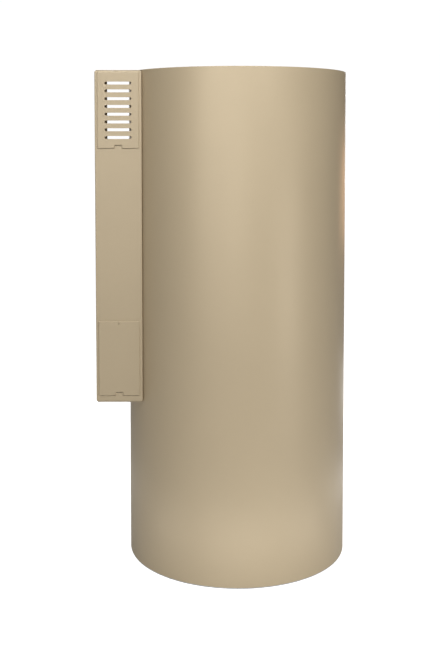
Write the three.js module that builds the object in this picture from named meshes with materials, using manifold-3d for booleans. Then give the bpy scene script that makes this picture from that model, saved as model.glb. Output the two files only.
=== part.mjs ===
// A floor-standing electric storage water heater: an insulated, enamel-lined steel tank in a round painted
// jacket, with a folded service cover along its left side. The cover's front face has a slotted vent hatch
// at the top and a service hatch lower down, and its back is open for the pipes and the cable.
// Millimetres, +Z up. The origin is on the floor at the tank's axis, the front faces -Y, and the service
// cover stands on the -X side.
import * as THREE from "three";
import { mergeVertices } from "three/addons/utils/BufferGeometryUtils.js";
import Module from "manifold-3d";

const wasm = await Module();
wasm.setup();

// ---------- Driving dimensions ----------
const HEIGHT = 1240;
const JACKET_R = 280;
const SHEET = 1.5; // every folded sheet
const GAP = 0.3; // between pieces that touch
const FACETS = 48; // of the jacket, the tank and everything turned with them

const PAN_Z = 2.5; // thickness of the base pan's floor
const LID_Z = HEIGHT - 5; // underside of the lid, which sits just inside the jacket's rim
const LID_R = JACKET_R - SHEET - GAP; // what fits inside the jacket

const TANK_R = 235;
const TANK_WALL = 3;
const TANK_BOTTOM = 100; // lower edge of the shell, on the support ring
const TANK_TOP = 1090; // where the top head starts
const DOME_RISE = 90;
const DISH_RIM = 110; // lower edge of the bottom head, which is dished upwards
const DISH_RISE = 40;

// The service cover: a C of sheet, seen from above.
const COVER = { left: -352, right: -237, front: -157, back: 75, bottom: 420.5, top: 1236.7 };
const HEM = 7; // the lip folded in along the open back
const COVER_MID = (COVER.left + COVER.right) / 2;

// Both hatches are the same size. The vent hatch hangs on hooks at its top edge, and the service hatch
// stands on hooks at its bottom edge and is held by a screw near its top.
const HATCH_W = 101.6;
const HATCH_H = 185.6;
const HATCH_FLANGE = 9;
const HATCH_GAP = 1.2;
const VENT_HATCH_TOP = 1233.2;
const SERVICE_HATCH_TOP = 621.4;
const TONGUE = { base: 13, tip: 8, rise: 6.4, clear: 2.6 }; // half widths, height, and gap over its tip
const VENT = { slots: 8, width: 65.4, height: 7, pitch: 18.9, firstBelowTop: 26.6 };

// Ports in the tank's side: angle about the axis (0 is +X, 90 is the back, 180 the left), height, the hole
// through the jacket and insulation, the socket welded on the shell (its radius and length) and its bore.
const PORTS = {
  hotOutlet: { angle: 170, height: 985, hole: 20, socket: 19.5, length: 24, bore: 13.6 },
  reliefValve: { angle: 125, height: 1020, hole: 20, socket: 19.5, length: 24, bore: 13.6 },
  coldInlet: { angle: 145, height: 175, hole: 20, socket: 19.5, length: 24, bore: 13.6 },
  drain: { angle: 100, height: 175, hole: 20, socket: 18, length: 24, bore: 10.5 },
  element: { angle: 180, height: 520, hole: 39, socket: 38, length: 42, bore: 24.2 },
  pocket: { angle: 180, height: 650, hole: 14, socket: 12, length: 11, bore: 6.4 },
};

// The tray behind the service hatch that carries the controls.
const TRAY = { front: -120, left: -345, right: -266.05, back: -90, bottom: 440, top: 612 };
const DIAL = { x: -306, z: 582 };
const RESET = { x: -306, z: 550 };
const WIRE_HOLE = { x: -306, z: 513, radius: 9 };

// ---------- Materials ----------
const finish = (color, roughness, metalness) =>
  new THREE.MeshStandardMaterial({ color, roughness, metalness });
const champagne = finish(0xbaa98b, 0.42, 0.35);
const galvanised = finish(0xa9adb0, 0.45, 0.8);
const enamelSteel = finish(0x39475c, 0.3, 0.1);
const foam = finish(0xe3cf8f, 0.95, 0);
const brass = finish(0xb8944a, 0.32, 0.9);
const zinc = finish(0xc3c6c8, 0.35, 0.9);
const magnesium = finish(0x8d8f90, 0.6, 0.7);
const blackPlastic = finish(0x1d1d1f, 0.55, 0);
const ivoryPlastic = finish(0xe8e2d2, 0.5, 0);
const redPlastic = finish(0xb3201c, 0.4, 0);
const greyRubber = finish(0x4a4a4c, 0.85, 0);
const stainless = finish(0xb9bcbe, 0.3, 0.9);
const copper = finish(0xb4673f, 0.35, 0.9);
const liveWire = finish(0x6b3a22, 0.5, 0);
const neutralWire = finish(0x2456a5, 0.5, 0);
const earthWire = finish(0x4c8b36, 0.5, 0);

// ---------- Solids ----------
function solidOf(geometry) {
  const bare = geometry.index ? geometry.toNonIndexed() : geometry.clone();
  bare.deleteAttribute("normal");
  bare.deleteAttribute("uv");
  const merged = mergeVertices(bare, 1e-4);
  const triVerts = new Uint32Array(merged.index.array);
  const vertProperties = merged.attributes.position.array;
  const solid = new wasm.Manifold(new wasm.Mesh({ numProp: 3, vertProperties, triVerts }));
  if (solid.volume() >= 0) return solid;
  triVerts.reverse(); // the same triangles, facing the other way
  return new wasm.Manifold(new wasm.Mesh({ numProp: 3, vertProperties, triVerts }));
}

function geometryOf(solid) {
  const { vertProperties, triVerts } = solid.getMesh();
  const geometry = new THREE.BufferGeometry();
  geometry.setAttribute("position", new THREE.BufferAttribute(vertProperties, 3));
  geometry.setIndex(new THREE.BufferAttribute(triVerts, 1));
  geometry.computeVertexNormals();
  return geometry;
}

const cut = (geometry, ...tools) =>
  geometryOf(tools.reduce((left, tool) => left.subtract(solidOf(tool)), solidOf(geometry)));
const join = (...geometries) => geometryOf(geometries.map(solidOf).reduce((all, next) => all.add(next)));

// ---------- Basic shapes ----------
const block = (x0, x1, y0, y1, z0, z1) =>
  new THREE.BoxGeometry(x1 - x0, y1 - y0, z1 - z0).translate((x0 + x1) / 2, (y0 + y1) / 2, (z0 + z1) / 2);

// Turned about Z from a profile of [radius, height] points.
const revolve = (profile, facets = 16) =>
  geometryOf(
    solidOf(
      new THREE.LatheGeometry(
        profile.map(([r, z]) => new THREE.Vector2(r, z)),
        facets,
      ).rotateX(Math.PI / 2),
    ),
  );

// Turned about X, from [radius, distance along X] points.
const turned = (profile, facets) => revolve(profile, facets).rotateY(Math.PI / 2);

const rod = (radius, from, to, facets) => turned([[0, from], [radius, from], [radius, to], [0, to]], facets);
const ring = (inner, outer, from, to, facets) =>
  turned([[inner, from], [outer, from], [outer, to], [inner, to], [inner, from]], facets);
const hexRod = (acrossFlats, from, to) => rod(acrossFlats / 2 / Math.cos(Math.PI / 6), from, to, 6);
const upright = (radius, x, y, from, to, facets) =>
  revolve([[0, from], [radius, from], [radius, to], [0, to]], facets).translate(x, y, 0);
// Along Y at (x, z).
const crossRod = (radius, x, z, from, to, facets) =>
  rod(radius, from, to, facets).rotateZ(Math.PI / 2).translate(x, 0, z);

// A shape drawn in X and Z, as a panel from y = 0 to y = thickness.
const panel = (shape, thickness) =>
  new THREE.ExtrudeGeometry(shape, { depth: thickness, bevelEnabled: false, curveSegments: 4 })
    .rotateX(Math.PI / 2)
    .translate(0, thickness, 0);

// A shape drawn in X and Y, standing from z0 to z1.
const standing = (shape, z0, z1, curveSegments = 24) =>
  new THREE.ExtrudeGeometry(shape, { depth: z1 - z0, bevelEnabled: false, curveSegments })
    .translate(0, 0, z0);

// The plan of a sheet folded along a line of points, SHEET thick, with mitred folds.
function folded(points) {
  const line = points.map(([x, y]) => new THREE.Vector2(x, y));
  const side = (sign) =>
    line.map((point, i) => {
      const before = line[Math.max(i - 1, 0)];
      const after = line[Math.min(i + 1, line.length - 1)];
      const into = point.clone().sub(before);
      const out = after.clone().sub(point);
      const a = (into.length() ? into : out).clone().normalize();
      const b = (out.length() ? out : into).clone().normalize();
      const normal = new THREE.Vector2(-a.y - b.y, a.x + b.x).normalize();
      const reach = SHEET / 2 / (normal.x * -b.y + normal.y * b.x);
      return point.clone().addScaledVector(normal, sign * reach);
    });
  return new THREE.Shape([...side(1), ...side(-1).reverse()]);
}

// A round tube along a smooth curve through the points.
function sweep(points, radius, steps = 24, sides = 8) {
  const section = Array.from({ length: sides }, (_, i) => {
    const turn = (2 * Math.PI * i) / sides;
    return new THREE.Vector2(radius * Math.cos(turn), radius * Math.sin(turn));
  });
  const extrudePath = new THREE.CatmullRomCurve3(points.map((p) => new THREE.Vector3(...p)));
  return new THREE.ExtrudeGeometry(new THREE.Shape(section), { steps, extrudePath, bevelEnabled: false });
}

// ---------- Assembly helpers ----------
const heater = new THREE.Group();

function add(name, geometry, material, parent = heater) {
  const mesh = new THREE.Mesh(geometry, material);
  mesh.name = name;
  parent.add(mesh);
  return mesh;
}

const turn = (degrees) => THREE.MathUtils.degToRad(degrees);

// A group whose +X points straight out of the tank at a port.
function portGroup({ angle, height }) {
  const group = new THREE.Group();
  group.rotation.z = turn(angle);
  group.position.z = height;
  heater.add(group);
  return group;
}

// A rod pointing straight out of the tank at a port.
const portRod = ({ angle, height }, radius, from, to) =>
  rod(radius, from, to, 18).rotateZ(turn(angle)).translate(0, 0, height);
const portHole = (port) => portRod(port, port.hole, TANK_R - 30, JACKET_R + 20);

// A pan-head screw along +X with its head's underside at x = 0 and its shank running to -length.
const screw = (headRadius, shankRadius, length) =>
  turned(
    [
      [0, -length],
      [shankRadius, -length],
      [shankRadius, 0],
      [headRadius, 0],
      [headRadius, 1],
      [headRadius * 0.6, 2],
      [0, 2],
    ],
    10,
  );

// ---------- Jacket, lid and base ----------
// Screws into the jacket's skin: angle, height and the clearance hole.
const JACKET_SCREWS = [
  { name: "upper_strap_screw", angle: 162.5, height: 892.5, hole: 2.2, out: 282.3 },
  { name: "lower_strap_screw", angle: 162.5, height: 446, hole: 2.2, out: 282.3 },
];

const jacketHoles = () => [...Object.values(PORTS), ...JACKET_SCREWS].map(portHole);

function jacket() {
  const wall = revolve(
    [
      [JACKET_R, PAN_Z + GAP],
      [JACKET_R, HEIGHT],
      [JACKET_R - SHEET, HEIGHT],
      [JACKET_R - SHEET, PAN_Z + GAP],
      [JACKET_R, PAN_Z + GAP],
    ],
    FACETS,
  );
  const lockSeam = block(-6, 6, JACKET_R - 1, JACKET_R + 1.2, PAN_Z + GAP, HEIGHT);
  add("jacket", cut(join(wall, lockSeam), ...jacketHoles()), champagne);
}

function lid() {
  const hole = 22;
  const pan = revolve(
    [
      [hole, LID_Z],
      [LID_R, LID_Z],
      [LID_R, HEIGHT - 1],
      [LID_R - SHEET, HEIGHT - 1],
      [LID_R - SHEET, LID_Z + SHEET],
      [hole, LID_Z + SHEET],
      [hole, LID_Z],
    ],
    FACETS,
  );
  add("top_cover", pan, champagne);

  const seat = LID_Z + SHEET + GAP;
  const plug = hole - GAP;
  const cap = [
    [0, LID_Z + GAP],
    [plug, LID_Z + GAP],
    [plug, seat],
    [31, seat],
    [29.5, seat + 3],
    [0, seat + 3],
  ];
  const groove = block(-17, 17, -1.5, 1.5, seat + 1.8, seat + 6);
  add("anode_access_cap", cut(revolve(cap, 32), groove), blackPlastic);
}

function base() {
  const rimR = JACKET_R - SHEET - GAP;
  const pan = revolve(
    [
      [0, 0],
      [JACKET_R - 0.6, 0],
      [JACKET_R - 0.6, PAN_Z],
      [rimR, PAN_Z],
      [rimR, 22],
      [rimR - SHEET, 22],
      [rimR - SHEET, PAN_Z],
      [0, PAN_Z],
    ],
    FACETS,
  );
  add("base_pan", pan, galvanised);
  add(
    "tank_support_ring",
    ring(TANK_R - 4, TANK_R, PAN_Z + GAP, TANK_BOTTOM - GAP, FACETS).rotateY(-Math.PI / 2),
    galvanised,
  );
  add("base_insulation", revolve([
    [0, PAN_Z + GAP],
    [TANK_R - 5, PAN_Z + GAP],
    [TANK_R - 5, DISH_RIM - 3],
    [0, DISH_RIM - 3],
  ], FACETS), foam);
}

// ---------- Tank ----------
// Points of a dome over the tank, from the rim inwards to radius `to`.
function dome(radius, rise, to, count = 4) {
  const last = Math.acos(to / radius);
  return Array.from({ length: count + 1 }, (_, i) => {
    const t = (last * i) / count;
    return [radius * Math.cos(t), TANK_TOP + rise * Math.sin(t)];
  });
}

function tank() {
  const inner = TANK_R - TANK_WALL;
  const shell = revolve(
    [
      [TANK_R, TANK_BOTTOM],
      [TANK_R, TANK_TOP - GAP],
      [inner, TANK_TOP - GAP],
      [inner, TANK_BOTTOM],
      [TANK_R, TANK_BOTTOM],
    ],
    FACETS,
  );
  const ports = Object.values(PORTS);
  const sockets = ports.map((port) => portRod(port, port.socket, TANK_R - 2.5, TANK_R + port.length));
  const bores = ports.map((port) => portRod(port, port.bore, TANK_R - 30, TANK_R + 50));
  add("tank_shell", cut(join(shell, ...sockets), ...bores), enamelSteel);

  const outside = dome(TANK_R, DOME_RISE, 15.5);
  const inside = dome(inner, DOME_RISE - TANK_WALL, 15.5).reverse();
  add("tank_top_head", revolve([...outside, ...inside, outside[0]], FACETS), enamelSteel);

  const dishR = inner - GAP;
  const dish = (z, step) => {
    const r = (dishR * step) / 4;
    return [r, z + DISH_RISE * (1 - (r / dishR) ** 2)];
  };
  const steps = [0, 1, 2, 3, 4];
  const under = steps.map((step) => dish(DISH_RIM, step));
  const over = steps.map((step) => dish(DISH_RIM + TANK_WALL, step)).reverse();
  add("tank_bottom_head", revolve([...under, ...over], FACETS), enamelSteel);
}

function insulation() {
  const inner = TANK_R + 0.4;
  const over = dome(inner, DOME_RISE + 0.6, 26).reverse();
  const sleeve = revolve(
    [[LID_R, 27], [LID_R, LID_Z - GAP], [26, LID_Z - GAP], ...over, [inner, 27], [LID_R, 27]],
    FACETS,
  );
  add("insulation", cut(sleeve, ...jacketHoles()), foam);
}

function anode() {
  const top = TANK_TOP + DOME_RISE;
  const spud = revolve([[15, top + 0.4], [22, top + 0.4], [22, top + 16], [15, top + 16], [15, top + 0.4]]);
  add("anode_spud", spud, zinc);
  const core = revolve([
    [0, 610],
    [10.5, 610],
    [10.5, top - 4],
    [14.6, top - 4],
    [14.6, top + 16.3],
    [0, top + 16.3],
  ], 20);
  const head = revolve([[0, top + 16.3], [20.8, top + 16.3], [20.8, top + 26], [0, top + 26]], 6);
  add("anode_rod", join(core, head.translate(0, 0, -0.01)), magnesium);
}

// ---------- Ports ----------
// The rubber collar where a pipe leaves the jacket.
function collar(name, group, pipeR) {
  const profile = [
    [pipeR + GAP, JACKET_R - 10],
    [19.5, JACKET_R - 10],
    [19.5, JACKET_R + 0.4],
    [28, JACKET_R + 0.4],
    [26.5, JACKET_R + 4],
    [pipeR + GAP, JACKET_R + 4],
    [pipeR + GAP, JACKET_R - 10],
  ];
  add(name, turned(profile), greyRubber, group);
}

const PIPE_R = 13.3; // three-quarter-inch pipe

function pipes() {
  const hot = portGroup(PORTS.hotOutlet);
  collar("hot_outlet_collar", hot, PIPE_R);
  add("hot_outlet_nipple", ring(10, PIPE_R, TANK_R + 1, JACKET_R + 45), zinc, hot);

  const cold = portGroup(PORTS.coldInlet);
  collar("cold_inlet_collar", cold, PIPE_R);
  add("cold_inlet_nipple", ring(10, PIPE_R, TANK_R + 1, JACKET_R + 45), zinc, cold);
  const diffuser = turned([
    [0, 118],
    [PIPE_R - 1, 118],
    [PIPE_R - 1, TANK_R + 0.5],
    [10, TANK_R + 0.5],
    [10, 121],
    [0, 121],
  ], 20);
  const outlets = [140, 165, 190].map((x) => upright(4, x, 0, -20, 0, 12));
  add("cold_inlet_diffuser", cut(diffuser, ...outlets), ivoryPlastic, cold);
}

function reliefValve() {
  const group = portGroup(PORTS.reliefValve);
  collar("relief_valve_collar", group, PIPE_R);
  const solid = join(
    rod(PIPE_R, TANK_R + 1, 294),
    hexRod(34, 292, 305),
    turned([[0, 304], [19, 304], [20, 307], [20, 340], [16, 346], [16, 366], [0, 366]], 20),
    rod(2.8, 365, 372.3, 10),
    upright(14, 324, 0, -46, 0),
    block(364, 378, -10.6, -8.4, 1, 14),
    block(364, 378, 8.4, 10.6, 1, 14),
  );
  const bores = [upright(10.5, 324, 0, -47, -16), crossRod(1.9, 373, 8, -12, 12, 12)];
  add("relief_valve_body", cut(solid, ...bores), brass, group);
  add("relief_lever_pin", crossRod(1.5, 373, 8, -12, 12, 12), stainless, group);

  const outline = new THREE.Shape();
  outline.moveTo(-7, 6).lineTo(-7, -26).absarc(0, -26, 7, Math.PI, 2 * Math.PI).lineTo(7, 6);
  outline.holes.push(new THREE.Path().absarc(0, -26, 3.2, 0, 2 * Math.PI));
  const tab = panel(outline, 2).rotateZ(Math.PI / 2).translate(374.6, 0, 0);
  const knuckle = crossRod(4, 373, 8, -8, 8, 16);
  add("relief_valve_lever", cut(join(tab, knuckle), crossRod(1.9, 373, 8, -12, 12, 12)), stainless, group);
}

function drainValve() {
  const group = portGroup(PORTS.drain);
  collar("drain_collar", group, 10.2);
  const solid = join(
    rod(10.2, TANK_R + 1, 296),
    hexRod(27, 295, 305),
    turned([[0, 304], [14, 304], [16, 308], [16, 330], [12, 334], [12, 356], [0, 356]], 20),
    upright(6, 319, 0, 0, 24, 16),
    upright(4, 319, 0, 20, 33, 12),
  );
  add("drain_valve_body", cut(solid, rod(7, 336, 358, 16)), brass, group);
  const hub = revolve([[4.3, 24.5], [9, 24.5], [9, 35], [4.3, 35], [4.3, 24.5]], 20).translate(319, 0, 0);
  const arm = new THREE.Shape();
  arm.moveTo(-6, 7).lineTo(-7, 54).absarc(0, 54, 7, Math.PI, 0, true).lineTo(6, 7);
  add("drain_valve_handle", join(hub, standing(arm, 28, 33, 6).translate(319, 0, 0)), redPlastic, group);
}

function element() {
  const group = portGroup(PORTS.element);
  const seat = TANK_R + PORTS.element.length + GAP;
  add("element_gasket", ring(24, 32, seat, seat + 2), greyRubber, group);
  const face = seat + 2 + GAP;
  const head = join(rod(23.5, TANK_R - 4, face + 0.1, 24), hexRod(48, face, face + 9));
  add("element_head", head, brass, group);
  const cap = turned([
    [0, face + 9.3],
    [16, face + 9.3],
    [16, face + 16],
    [14.5, face + 17],
    [0, face + 17],
  ], 20);
  const studs = [-6, 6].map((y) => rod(2.4, face + 16, face + 24, 10).translate(0, y, 0));
  add("element_terminals", join(cap, ...studs), blackPlastic, group);

  const legs = 9; // half the distance between the loop's legs
  const far = -70;
  const bend = Array.from({ length: 7 }, (_, i) => {
    const t = Math.PI / 2 + (Math.PI * i) / 6;
    return [far + legs * Math.cos(t), 0, legs * Math.sin(t)];
  });
  const start = TANK_R - 4.4;
  const loop = [
    [start, 0, legs],
    [120, 0, legs],
    [20, 0, legs],
    ...bend,
    [20, 0, -legs],
    [120, 0, -legs],
    [start, 0, -legs],
  ];
  add("heating_element", sweep(loop, 4, 36, 6), copper, group);
}

// ---------- Service cover and its hatches ----------
const stadium = (width, height, x, z) => {
  const r = height / 2;
  const half = width / 2 - r;
  const shape = new THREE.Shape();
  shape.moveTo(x - half, z - r).lineTo(x + half, z - r).absarc(x + half, z, r, -Math.PI / 2, Math.PI / 2);
  shape.lineTo(x - half, z + r).absarc(x - half, z, r, Math.PI / 2, 1.5 * Math.PI);
  return shape;
};

// The rounded-off tongue that rises from the lower edge of a hatch opening, or the notch that clears it.
const tongueShape = (grow, rise, foot) =>
  new THREE.Shape([
    new THREE.Vector2(-TONGUE.base - grow, foot),
    new THREE.Vector2(TONGUE.base + grow, foot),
    new THREE.Vector2(TONGUE.tip + grow, rise),
    new THREE.Vector2(-TONGUE.tip - grow, rise),
  ]);

// The opening for a hatch, and its tongue, for the hatch whose top edge is at `top`.
function opening(top) {
  const half = HATCH_W / 2 + HATCH_GAP;
  const sill = top - HATCH_H - HATCH_GAP;
  return {
    hole: block(
      COVER_MID - half,
      COVER_MID + half,
      COVER.front - 1,
      COVER.front + SHEET + 1,
      sill,
      top + HATCH_GAP,
    ),
    tongue: panel(tongueShape(0, TONGUE.rise, -2), SHEET).translate(COVER_MID, COVER.front, sill),
  };
}

function serviceCover() {
  const t = SHEET / 2;
  const plan = folded([
    [COVER.right - t, -149.9],
    [COVER.right - t, COVER.front + t],
    [COVER.left + t, COVER.front + t],
    [COVER.left + t, COVER.back - t],
    [COVER.left + HEM, COVER.back - t],
  ]);
  const sheet = standing(plan, COVER.bottom, COVER.top);
  const openings = [VENT_HATCH_TOP, SERVICE_HATCH_TOP].map(opening);
  const hemHoles = HEM_SCREWS.map(({ z }) => crossRod(1.7, HEM_X, z, COVER.back - 4, COVER.back + 4, 10));
  const holed = cut(sheet, ...openings.map(({ hole }) => hole), ...hemHoles);
  add("service_cover", join(holed, ...openings.map(({ tongue }) => tongue)), champagne);

  // The caps reach round the jacket.
  const clear = JACKET_R + 0.7;
  const edge = (y) => Math.PI - Math.asin(y / clear);
  const cap = new THREE.Shape();
  cap.moveTo(COVER.right, COVER.front).lineTo(COVER.left, COVER.front).lineTo(COVER.left, COVER.back);
  cap.absarc(0, 0, clear, edge(COVER.back), edge(-149.9), false);
  cap.lineTo(COVER.right, -149.9);
  add("cover_top_cap", standing(cap, COVER.top + GAP, COVER.top + GAP + SHEET), champagne);
  add("cover_bottom_cap", standing(cap, COVER.bottom - GAP - SHEET, COVER.bottom - GAP), champagne);
}

// Straps inside the open back that tie the cover's hem to the jacket.
const HEM_X = COVER.left + 4;
const HEM_SCREWS = [
  { name: "upper_hem_screw", z: 892.5 },
  { name: "lower_hem_screw", z: 446 },
];

function straps() {
  const y = COVER.back - SHEET - GAP - SHEET / 2;
  const plan = folded([[COVER.left + 2, y], [-271.9, y], [-264.4, y + 24]]);
  const screwHole = ({ z }) => crossRod(1.7, HEM_X, z, y - 4, y + 4, 10);
  const flangeHole = ({ angle, height }) => portHole({ angle, height, hole: 1.8 });
  const upperHoles = [screwHole(HEM_SCREWS[0]), flangeHole(JACKET_SCREWS[0])];
  add("cover_strap_upper", cut(standing(plan, 880, 905), ...upperHoles), galvanised);
  const gland = crossRod(12.4, -310, 472, y - 4, y + 4, 24);
  const lowerHoles = [gland, screwHole(HEM_SCREWS[1]), flangeHole(JACKET_SCREWS[1])];
  add("gland_plate", cut(standing(plan, 430, 506), ...lowerHoles), galvanised);

  HEM_SCREWS.forEach(({ name, z }) => {
    const mesh = add(name, screw(3, 1.4, 6), zinc);
    mesh.rotation.z = Math.PI / 2;
    mesh.position.set(HEM_X, COVER.back + GAP, z);
  });
  JACKET_SCREWS.forEach(({ name, angle, height, out }) => {
    const mesh = add(name, screw(3.5, 1.5, 7), zinc);
    mesh.rotation.z = turn(angle);
    mesh.position.set(out * Math.cos(turn(angle)), out * Math.sin(turn(angle)), height);
  });

  const body = turned([
    [7, -14],
    [12, -14],
    [12, SHEET / 2 + GAP],
    [16, SHEET / 2 + GAP],
    [16, 8],
    [13, 10],
    [13, 22],
    [9, 26],
    [7, 26],
    [7, -14],
  ]);
  const mesh = add("cable_gland", body, blackPlastic);
  mesh.rotation.z = Math.PI / 2;
  mesh.position.set(-310, y, 472);
  const nut = add("cable_gland_nut", cut(hexRod(30, -7, -SHEET / 2 - GAP), rod(12.3, -9, 1)), blackPlastic);
  nut.rotation.z = Math.PI / 2;
  nut.position.copy(mesh.position);
}

// A hatch in its own frame: the origin is the middle of its top outer edge. `hooks` is where its two hooks
// reach behind the cover: 1 above its top edge, -1 below its bottom edge.
function hatch(slots, hooks) {
  const half = HATCH_W / 2;
  const hookZ = (z) => (hooks > 0 ? z : -HATCH_H - z);
  const hook = (x) => [[1, 3.5, -5, -3], [2.3, 3.5, -5, 2.8]].map(([y0, y1, z0, z1]) =>
    block(x - 6, x + 6, y0, y1, Math.min(hookZ(z0), hookZ(z1)), Math.max(hookZ(z0), hookZ(z1))),
  );
  const tray = join(
    block(-half, half, 0, SHEET, -HATCH_H, 0),
    block(-half, -half + SHEET, 0, HATCH_FLANGE, -HATCH_H + 6, -6),
    block(half - SHEET, half, 0, HATCH_FLANGE, -HATCH_H + 6, -6),
    ...[-38, 38].flatMap(hook),
  );
  const notch = panel(tongueShape(HATCH_GAP, TONGUE.rise + TONGUE.clear, -4), HATCH_FLANGE + 4);
  const cutters = [notch.translate(0, -2, -HATCH_H - HATCH_GAP)];
  for (let i = 0; i < slots; i++) {
    const z = -VENT.firstBelowTop - VENT.pitch * i;
    cutters.push(panel(stadium(VENT.width, VENT.height, 0, z), 6).translate(0, -2, 0));
  }
  return cut(tray, ...cutters);
}

function hatches() {
  const vent = new THREE.Group();
  vent.position.set(COVER_MID, COVER.front, VENT_HATCH_TOP);
  add("vent_hatch", hatch(VENT.slots, 1), champagne, vent);

  const service = new THREE.Group();
  service.position.set(COVER_MID, COVER.front, SERVICE_HATCH_TOP);
  const screwZ = -4.6;
  add("service_hatch", cut(hatch(0, -1), crossRod(1.7, 0, screwZ, -2, 4, 10)), champagne, service);
  const fastener = add("service_hatch_screw", screw(3.1, 1.4, 6.5), stainless, service);
  fastener.rotation.z = -Math.PI / 2;
  fastener.position.set(0, -GAP, screwZ);

  // The clip stays on the cover, and the screw bites into it through the hatch.
  const plate = block(-8, 8, 4, 5.2, -9, 9);
  const clip = join(plate, block(-8, 8, SHEET + GAP, 4.2, 4, 9));
  add("service_hatch_clip", cut(clip, crossRod(1.8, 0, screwZ, 3, 7, 12)), galvanised, service);
  heater.add(vent, service);
}

// ---------- Controls behind the service hatch ----------
function controls() {
  const t = SHEET / 2;
  const plan = folded([
    [TRAY.left, TRAY.front + t],
    [TRAY.right - t, TRAY.front + t],
    [TRAY.right - t, TRAY.back],
  ]);
  const y0 = TRAY.front - 4;
  const y1 = TRAY.front + 6;
  const tray = cut(
    standing(plan, TRAY.bottom, TRAY.top),
    crossRod(5, DIAL.x, DIAL.z, y0, y1, 16),
    crossRod(4.4, RESET.x, RESET.z, y0, y1, 16),
    crossRod(WIRE_HOLE.radius, WIRE_HOLE.x, WIRE_HOLE.z, y0, y1, 20),
  );
  add("control_tray", tray, galvanised);

  const back = TRAY.front + SHEET + GAP;
  const body = join(
    block(DIAL.x - 25, DIAL.x + 25, back, back + 28, 536, 606),
    crossRod(3, DIAL.x, DIAL.z, TRAY.front - 10, back + 1, 16),
  );
  add("thermostat_body", cut(body, crossRod(4.3, RESET.x, RESET.z, back - 1, back + 10, 16)), blackPlastic);

  const knob = turned([[3.3, 0], [19, 0], [19, 4], [16.5, 5], [15.5, 13], [14, 14], [3.3, 14], [3.3, 0]], 24);
  const pointer = block(12, 15, -1.6, 1.6, 3.3, 14);
  const dial = add("thermostat_dial", join(knob, pointer), ivoryPlastic);
  dial.rotation.z = -Math.PI / 2;
  dial.position.set(DIAL.x, TRAY.front - 0.8, DIAL.z);
  add("reset_button", crossRod(3.9, RESET.x, RESET.z, TRAY.front - 6, back + 5, 16), redPlastic);

  const front = TRAY.front - GAP;
  const terminals = [-326, -306, -286];
  const blockBody = block(-338, -274, front - 15, front, 462, 492);
  const wells = terminals.map((x) => crossRod(4, x, 470, front - 16, front - 9, 14));
  add("terminal_block", cut(blockBody, ...wells), ivoryPlastic);
  add("earth_stud", crossRod(3.2, -276, 516, front - 5, front, 6), brass);

  const wireY = front - 7.5;
  const [liveX, neutralX, earthX] = [-322, -300, -284];
  const lead = (name, points, material) => add(name, sweep(points, 1.6, 16, 6), material);
  lead(
    "live_lead",
    [
      [liveX, wireY, 492.4],
      [liveX, wireY - 1, 501],
      [-314, TRAY.front - 3, 511],
      [-311, TRAY.front + 8, 515],
      [-311, -103, 523],
      [-311, -101, 535.6],
    ],
    liveWire,
  );
  lead(
    "neutral_lead",
    [
      [neutralX, wireY, 492.4],
      [neutralX, wireY - 1, 501],
      [-301, TRAY.front - 3, 509],
      [-301, TRAY.front + 8, 511],
      [-308, -60, 503],
      [-318, -22, 505],
      [-319, 0, 515],
      [-305.4, 6, 520],
    ],
    neutralWire,
  );
  lead("switched_lead", [
    [-296, -100, 535.6],
    [-296, -98, 527],
    [-304, -60, 523],
    [-312, -30, 523],
    [-316, -12, 522],
    [-305.4, -6, 520],
  ], liveWire);
  lead("earth_lead", [
    [earthX, wireY, 492.4],
    [earthX, wireY - 1, 500],
    [-278, front - 6.6, 507],
    [-276, front - 7.2, 516],
  ], earthWire);
}

function pocket() {
  const group = portGroup(PORTS.pocket);
  const tube = turned([[0, 118], [6, 118], [6, 268], [4.6, 268], [4.6, 120], [0, 120]], 16);
  add("thermostat_pocket", tube, stainless, group);
  const capillary = sweep(
    [
      [-306, -104, 606.4],
      [-306, -103, 620],
      [-303, -80, 640],
      [-298, -30, 650],
      [-286, -5, 650],
      [-268, 0, 650],
      [-225, 0, 650],
    ],
    1.1,
    36,
    6,
  );
  const bulb = rod(3, 130, 228, 12).rotateZ(Math.PI).translate(0, 0, PORTS.pocket.height);
  add("thermostat_bulb", join(capillary, bulb), copper);
}

jacket();
lid();
base();
tank();
insulation();
anode();
pipes();
reliefValve();
drainValve();
element();
serviceCover();
straps();
hatches();
controls();
pocket();

export default heater;
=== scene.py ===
"""The looks of the tank water heater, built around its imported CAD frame."""

import math

import bmesh
import bpy
from mathutils import Matrix, Vector


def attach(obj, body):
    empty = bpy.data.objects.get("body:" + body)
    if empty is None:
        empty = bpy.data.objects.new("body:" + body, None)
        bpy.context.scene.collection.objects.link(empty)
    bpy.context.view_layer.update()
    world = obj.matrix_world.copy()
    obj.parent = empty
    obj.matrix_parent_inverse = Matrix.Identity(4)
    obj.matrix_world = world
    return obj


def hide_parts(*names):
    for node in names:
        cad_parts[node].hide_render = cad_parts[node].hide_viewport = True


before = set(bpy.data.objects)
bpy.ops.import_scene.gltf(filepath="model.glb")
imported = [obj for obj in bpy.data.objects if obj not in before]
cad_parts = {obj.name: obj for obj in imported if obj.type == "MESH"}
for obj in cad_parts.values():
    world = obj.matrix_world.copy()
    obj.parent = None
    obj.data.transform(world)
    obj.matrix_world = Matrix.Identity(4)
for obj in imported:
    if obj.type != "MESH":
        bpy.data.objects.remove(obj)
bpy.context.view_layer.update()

scene = bpy.context.scene
radians = math.radians

# ---------- Dimensions, in millimetres, as in the CAD source ----------
HEIGHT = 1240
JACKET_R = 280
SHEET = 1.5
GAP = 0.3
PAN_Z = 2.5
LID_Z = HEIGHT - 5
LID_R = JACKET_R - SHEET - GAP
TANK_R = 235
PIPE_R = 13.3
DRAIN_R = 10.2

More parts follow.
